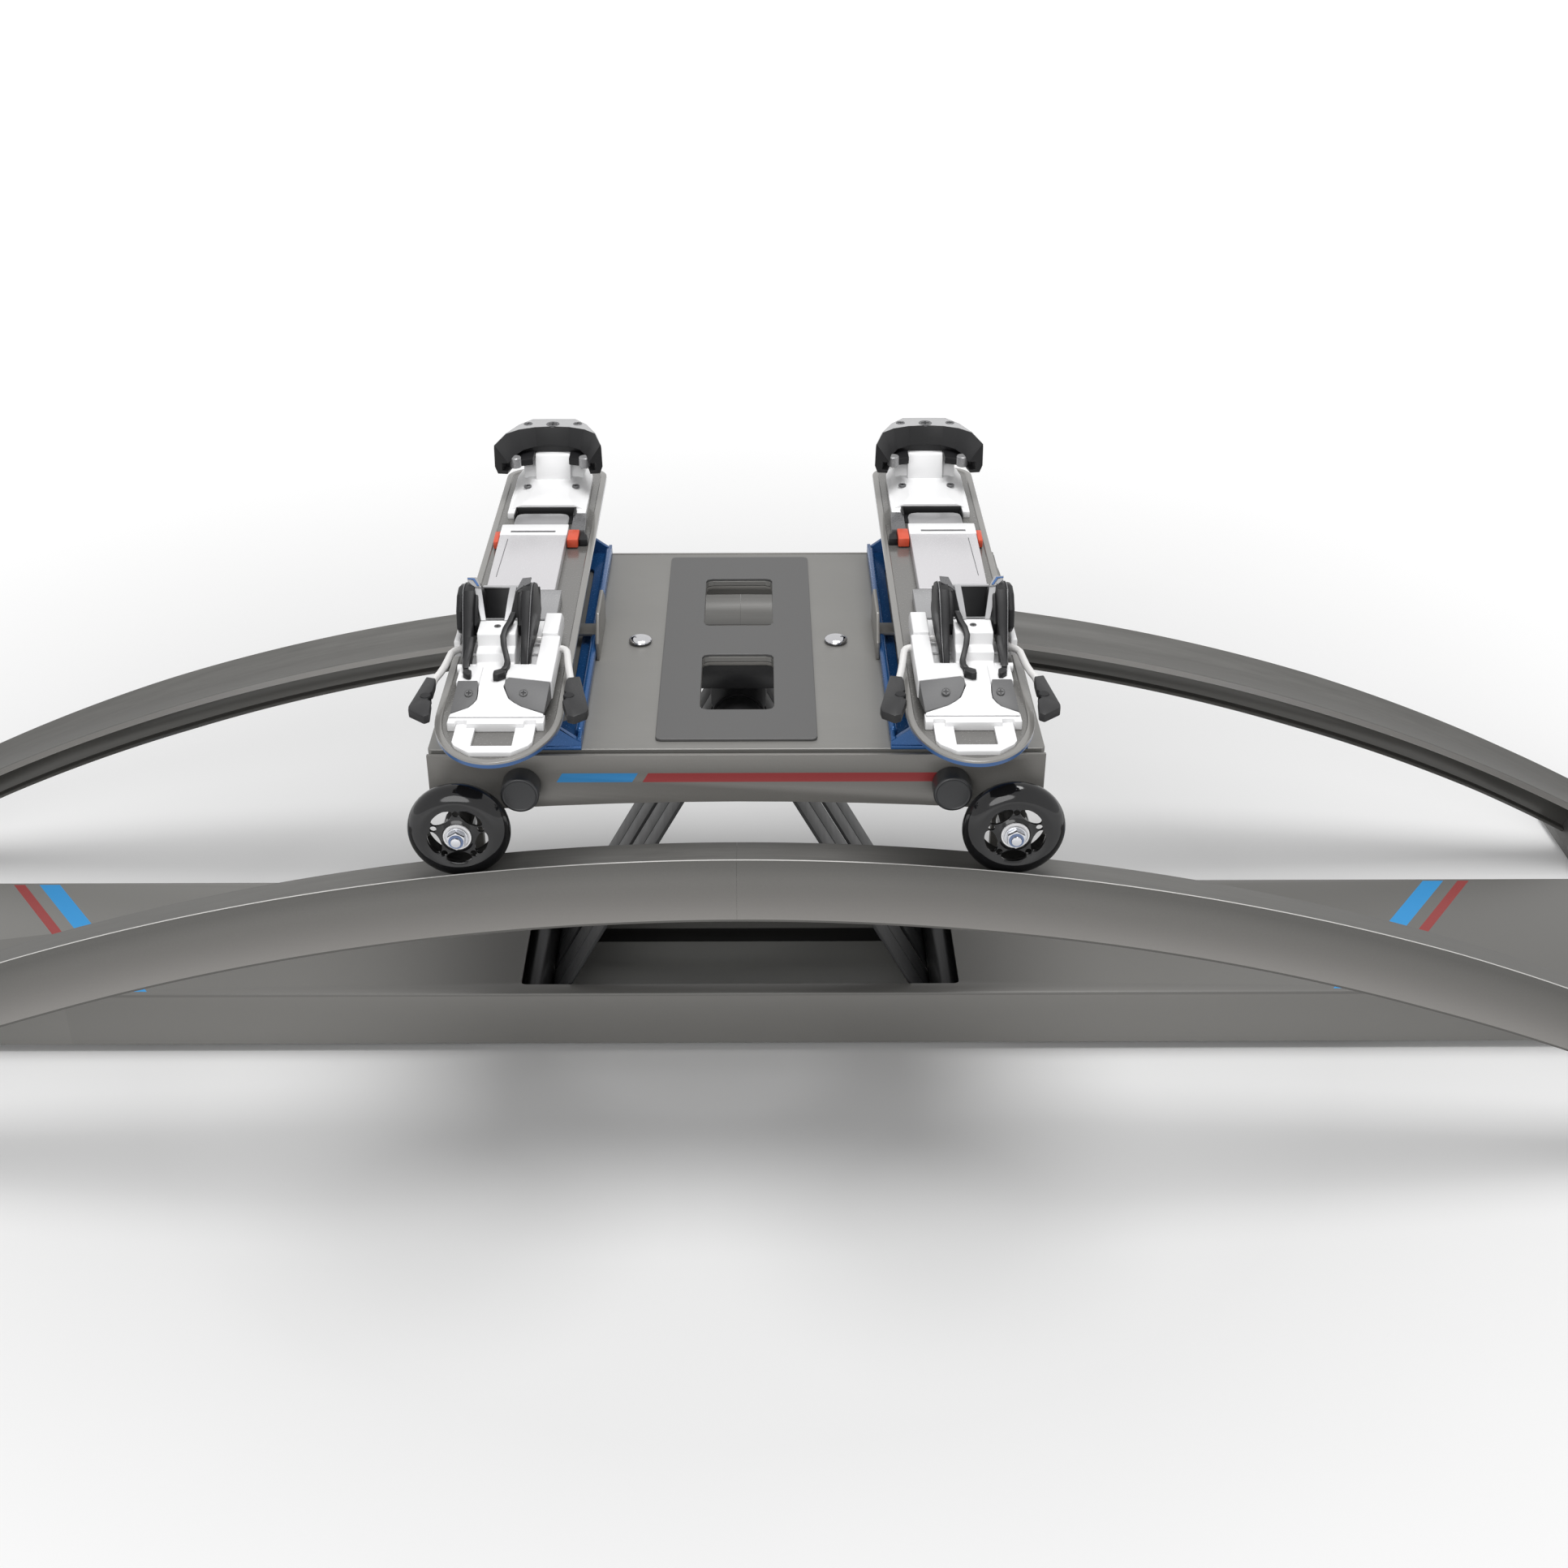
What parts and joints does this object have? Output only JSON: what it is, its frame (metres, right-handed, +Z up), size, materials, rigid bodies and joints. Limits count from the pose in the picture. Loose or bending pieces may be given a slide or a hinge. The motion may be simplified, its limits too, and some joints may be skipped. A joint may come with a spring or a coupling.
{
  "type": "ski simulator",
  "caption": "Free-standing ski trainer: a wheeled carriage with tilting ski plates and bindings rolls along arched rails and is drawn back to the middle by flat rubber bands.",
  "frame": {"origin": "floor, at the middle of the base", "axes": "+X along the rails to the skier's right, +Y towards the toes, +Z up"},
  "size_m": [1.9486, 0.7, 0.493],
  "materials": {
    "rail_paint": "satin",
    "beam_paint": "matte",
    "frame_paint": "satin metallic",
    "cast_foot": "cast, painted grey",
    "deck": "brushed",
    "panel": "matte",
    "steel": "zinc plated",
    "chrome": "polished",
    "rubber": "matte",
    "wheel": "gloss polyurethane",
    "black_plastic": "satin",
    "blue_metal": "satin",
    "ski": "gloss",
    "white_binding": "gloss",
    "dark_binding": "satin"
  },
  "bodies": {
    "base": {"base_beam": "beam_paint", "rail_front_left": "rail_paint", "rail_front_right": "rail_paint", "rail_back_left": "rail_paint", "rail_back_right": "rail_paint", "rail_splice_front": "steel", "rail_splice_back": "steel", "end_foot_left": "cast_foot", "end_foot_right": "cast_foot", "foot_pad_front_left": "rubber", "foot_pad_front_right": "rubber", "foot_pad_back_left": "rubber", "foot_pad_back_right": "rubber", "band_anchor_left": "cast_foot", "band_anchor_right": "cast_foot", "rubber_band_1": "rubber", "rubber_band_2": "rubber", "rubber_band_3": "rubber", "rubber_band_4": "rubber"},
    "carriage": {"carriage_frame": "frame_paint", "deck_plate": "deck", "centre_panel": "panel", "dome_bolt_left": "chrome", "dome_bolt_right": "chrome", "tube_plug_front_left": "black_plastic", "tube_plug_front_right": "black_plastic", "tube_plug_back_left": "black_plastic", "tube_plug_back_right": "black_plastic", "spool_hanger": "steel", "tilt_bracket_left": "blue_metal", "cross_strap_left": "steel", "tilt_bracket_right": "blue_metal", "cross_strap_right": "steel"},
    "band_roller_left": {"beam_roller_left": "steel"},
    "band_roller_right": {"beam_roller_right": "steel"},
    "spool": {"band_spool": "black_plastic"},
    "wheel_front_left": {"wheel_front_left": "wheel"},
    "hold_down_front_left": {"hold_down_roller_front_left": "steel"},
    "wheel_front_right": {"wheel_front_right": "wheel"},
    "hold_down_front_right": {"hold_down_roller_front_right": "steel"},
    "wheel_back_left": {"wheel_back_left": "wheel"},
    "hold_down_back_left": {"hold_down_roller_back_left": "steel"},
    "wheel_back_right": {"wheel_back_right": "wheel"},
    "hold_down_back_right": {"hold_down_roller_back_right": "steel"},
    "ski_left": {"ski_plate_left": "ski", "toe_base_left": "white_binding", "toe_head_left": "dark_binding", "glide_plate_left": "white_binding", "heel_track_left": "white_binding"},
    "heel_left": {"heel_housing_left": "white_binding"},
    "heel_cup_left": {"heel_cup_left": "dark_binding"},
    "brake_left": {"ski_brake_left": "steel"},
    "ski_right": {"ski_plate_right": "ski", "toe_base_right": "white_binding", "toe_head_right": "dark_binding", "glide_plate_right": "white_binding", "heel_track_right": "white_binding"},
    "heel_right": {"heel_housing_right": "white_binding"},
    "heel_cup_right": {"heel_cup_right": "dark_binding"},
    "brake_right": {"ski_brake_right": "steel"}
  },
  "joints": [
    {"name": "carriage_travel", "type": "hinge", "parent": "base", "child": "carriage", "pos_m": [0, 0, -1.56], "axis": [0, 1, 0], "range_deg": [-18, 18], "stiffness_Nm_per_rad": 1200, "deforming": ["rubber_band_1", "rubber_band_2", "rubber_band_3", "rubber_band_4"]},
    {"name": "band_roller_spin_left", "type": "hinge", "parent": "base", "child": "band_roller_left", "pos_m": [-0.192, 0, 0.031], "axis": [0, 1, 0], "continuous": true},
    {"name": "band_roller_spin_right", "type": "hinge", "parent": "base", "child": "band_roller_right", "pos_m": [0.192, 0, 0.031], "axis": [0, 1, 0], "continuous": true},
    {"name": "spool_spin", "type": "hinge", "parent": "carriage", "child": "spool", "pos_m": [0, 0, 0.295], "axis": [0, 1, 0], "continuous": true},
    {"name": "wheel_spin_front_left", "type": "hinge", "parent": "carriage", "child": "wheel_front_left", "pos_m": [-0.2144, -0.226, 0.3179], "axis": [0, 1, 0], "continuous": true},
    {"name": "hold_down_spin_front_left", "type": "hinge", "parent": "carriage", "child": "hold_down_front_left", "pos_m": [-0.20749, -0.2115, 0.25739], "axis": [0, 1, 0], "continuous": true},
    {"name": "wheel_spin_front_right", "type": "hinge", "parent": "carriage", "child": "wheel_front_right", "pos_m": [0.2144, -0.226, 0.3179], "axis": [0, 1, 0], "continuous": true},
    {"name": "hold_down_spin_front_right", "type": "hinge", "parent": "carriage", "child": "hold_down_front_right", "pos_m": [0.20749, -0.2115, 0.25739], "axis": [0, 1, 0], "continuous": true},
    {"name": "wheel_spin_back_left", "type": "hinge", "parent": "carriage", "child": "wheel_back_left", "pos_m": [-0.2144, 0.226, 0.3179], "axis": [0, 1, 0], "continuous": true},
    {"name": "hold_down_spin_back_left", "type": "hinge", "parent": "carriage", "child": "hold_down_back_left", "pos_m": [-0.20749, 0.2115, 0.25739], "axis": [0, 1, 0], "continuous": true},
    {"name": "wheel_spin_back_right", "type": "hinge", "parent": "carriage", "child": "wheel_back_right", "pos_m": [0.2144, 0.226, 0.3179], "axis": [0, 1, 0], "continuous": true},
    {"name": "hold_down_spin_back_right", "type": "hinge", "parent": "carriage", "child": "hold_down_back_right", "pos_m": [0.20749, 0.2115, 0.25739], "axis": [0, 1, 0], "continuous": true},
    {"name": "ski_tilt_left", "type": "hinge", "parent": "carriage", "child": "ski_left", "pos_m": [-0.173, 0, 0.406], "axis": [0, 1, 0], "range_deg": [-12, 12], "stiffness_Nm_per_rad": 60},
    {"name": "heel_slide_left", "type": "slide", "parent": "ski_left", "child": "heel_left", "axis": [0, 1, 0], "range_m": [-0.008, 0.008]},
    {"name": "heel_cup_turn_left", "type": "hinge", "parent": "heel_left", "child": "heel_cup_left", "pos_m": [-0.18, -0.201, 0.444], "axis": [1, 0, 0], "range_deg": [0, 35]},
    {"name": "brake_turn_left", "type": "hinge", "parent": "heel_left", "child": "brake_left", "pos_m": [-0.173, -0.15, 0.4437], "axis": [1, 0, 0], "range_deg": [-8, 10], "stiffness_Nm_per_rad": 4},
    {"name": "ski_tilt_right", "type": "hinge", "parent": "carriage", "child": "ski_right", "pos_m": [0.173, 0, 0.406], "axis": [0, 1, 0], "range_deg": [-12, 12], "stiffness_Nm_per_rad": 60},
    {"name": "heel_slide_right", "type": "slide", "parent": "ski_right", "child": "heel_right", "axis": [0, 1, 0], "range_m": [-0.008, 0.008]},
    {"name": "heel_cup_turn_right", "type": "hinge", "parent": "heel_right", "child": "heel_cup_right", "pos_m": [0.18, -0.201, 0.444], "axis": [1, 0, 0], "range_deg": [0, 35]},
    {"name": "brake_turn_right", "type": "hinge", "parent": "heel_right", "child": "brake_right", "pos_m": [0.173, -0.15, 0.4437], "axis": [1, 0, 0], "range_deg": [-8, 10], "stiffness_Nm_per_rad": 4}
  ],
  "couplings": [
    {"joint": "wheel_spin_front_left", "follows": "carriage_travel", "ratio": 46.252},
    {"joint": "hold_down_spin_front_left", "follows": "carriage_travel", "ratio": -141.71},
    {"joint": "wheel_spin_front_right", "follows": "carriage_travel", "ratio": 46.252},
    {"joint": "hold_down_spin_front_right", "follows": "carriage_travel", "ratio": -141.71},
    {"joint": "wheel_spin_back_left", "follows": "carriage_travel", "ratio": 46.252},
    {"joint": "hold_down_spin_back_left", "follows": "carriage_travel", "ratio": -141.71},
    {"joint": "wheel_spin_back_right", "follows": "carriage_travel", "ratio": 46.252},
    {"joint": "hold_down_spin_back_right", "follows": "carriage_travel", "ratio": -141.71}
  ]
}
